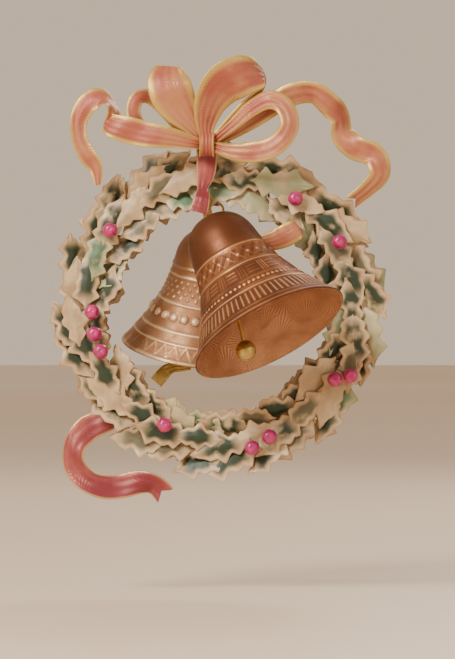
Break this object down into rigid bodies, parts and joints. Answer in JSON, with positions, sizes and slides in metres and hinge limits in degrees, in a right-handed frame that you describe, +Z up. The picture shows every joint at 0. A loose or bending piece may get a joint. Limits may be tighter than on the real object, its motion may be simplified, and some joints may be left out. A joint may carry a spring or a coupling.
{
  "type": "hanging christmas bell ornament",
  "caption": "Holly wreath on a wire ring with a satin bow and ribbon tails, and two flared bells with swinging clappers hung in its opening on a ribbon strap.",
  "frame": {"origin": "centre of the hanging eye in the tab at the top of the wire ring", "axes": "+Z up, the bow and the open mouth of the front bell face -Y, +X to the right seen from the front"},
  "size_m": [0.2119, 0.2048, 0.2821],
  "materials": {
    "bell_bronze": "satin copper bronze with embossed bands and a worn lip",
    "bell_rose_bronze": "matt pale bronze with embossed bands",
    "gilt_metal": "old gilt, semi-matt",
    "florist_wire": "olive enamel",
    "holly_leaf": "moulded, cream with green tinting and a light pearl bloom",
    "berry": "magenta lacquer",
    "satin_ribbon": "rose copper satin with gilt selvedges"
  },
  "bodies": {
    "wreath": {"wire_ring": "florist_wire", "hanger_tab": "gilt_metal", "holly_sprig_01": "holly_leaf", "holly_sprig_02": "holly_leaf", "holly_sprig_03": "holly_leaf", "holly_sprig_04": "holly_leaf", "holly_sprig_05": "holly_leaf", "holly_sprig_06": "holly_leaf", "holly_sprig_07": "holly_leaf", "holly_sprig_08": "holly_leaf", "holly_sprig_09": "holly_leaf", "holly_sprig_10": "holly_leaf", "holly_sprig_11": "holly_leaf", "holly_sprig_12": "holly_leaf", "holly_sprig_13": "holly_leaf", "holly_sprig_14": "holly_leaf", "binding_wire": "florist_wire", "berry_pick_upper_left": "berry", "berry_pick_upper_right": "berry", "berry_pick_left": "berry", "berry_pick_lower_right": "berry", "berry_pick_lower_left": "berry", "berry_pick_bottom": "berry", "bow_loop_upper_left": "satin_ribbon", "bow_loop_upper_right": "satin_ribbon", "bow_loop_left": "satin_ribbon", "bow_loop_lower_right": "satin_ribbon", "bow_tail_left": "satin_ribbon", "bow_tail_right": "satin_ribbon", "sash_tail": "satin_ribbon", "tucked_loop": "satin_ribbon", "bow_knot": "satin_ribbon", "hanging_strap": "satin_ribbon"},
    "front_link": {"front_link_ring": "gilt_metal", "strap_flap": "satin_ribbon"},
    "front_bell": {"front_bell_shell": "bell_bronze", "front_hanger_bolt": "gilt_metal", "front_washer": "gilt_metal", "front_nut": "gilt_metal"},
    "front_clapper": {"front_clapper_rod": "gilt_metal", "front_clapper_ball": "gilt_metal"},
    "rear_link": {"rear_link_ring": "gilt_metal"},
    "rear_bell": {"rear_bell_shell": "bell_rose_bronze", "rear_hanger_bolt": "gilt_metal", "rear_washer": "gilt_metal", "rear_nut": "gilt_metal"},
    "rear_clapper": {"rear_clapper_rod": "gilt_metal", "rear_clapper_ball": "gilt_metal", "rear_clapper_tab": "gilt_metal"}
  },
  "joints": [
    {"name": "front_link_swing", "type": "hinge", "parent": "wreath", "child": "front_link", "pos_m": [-0.0142, -0.0275, -0.0193], "axis": [1, 0, 0], "range_deg": [-25, 2.5]},
    {"name": "front_bell_swing", "type": "hinge", "parent": "front_link", "child": "front_bell", "pos_m": [-0.0142, -0.03116, -0.02818], "axis": [0, 0.9245, -0.3811], "range_deg": [-6, 32]},
    {"name": "front_clapper_swing", "type": "hinge", "parent": "front_bell", "child": "front_clapper", "pos_m": [-0.00517, -0.03821, -0.04529], "axis": [0.568, 0.8221, -0.0392], "range_deg": [-42, 11]},
    {"name": "rear_link_swing", "type": "hinge", "parent": "wreath", "child": "rear_link", "pos_m": [-0.0071, 0.0223, -0.0229], "axis": [1, 0, 0], "range_deg": [-2, 18]},
    {"name": "rear_bell_swing", "type": "hinge", "parent": "rear_link", "child": "rear_bell", "pos_m": [-0.0071, 0.02465, -0.03221], "axis": [0, 0.9694, 0.2453], "range_deg": [-18, 14]},
    {"name": "rear_clapper_swing", "type": "hinge", "parent": "rear_bell", "child": "rear_clapper", "pos_m": [-0.01007, 0.02966, -0.05197], "axis": [-0.2308, 0.9344, 0.2712], "range_deg": [-28, 11]}
  ]
}
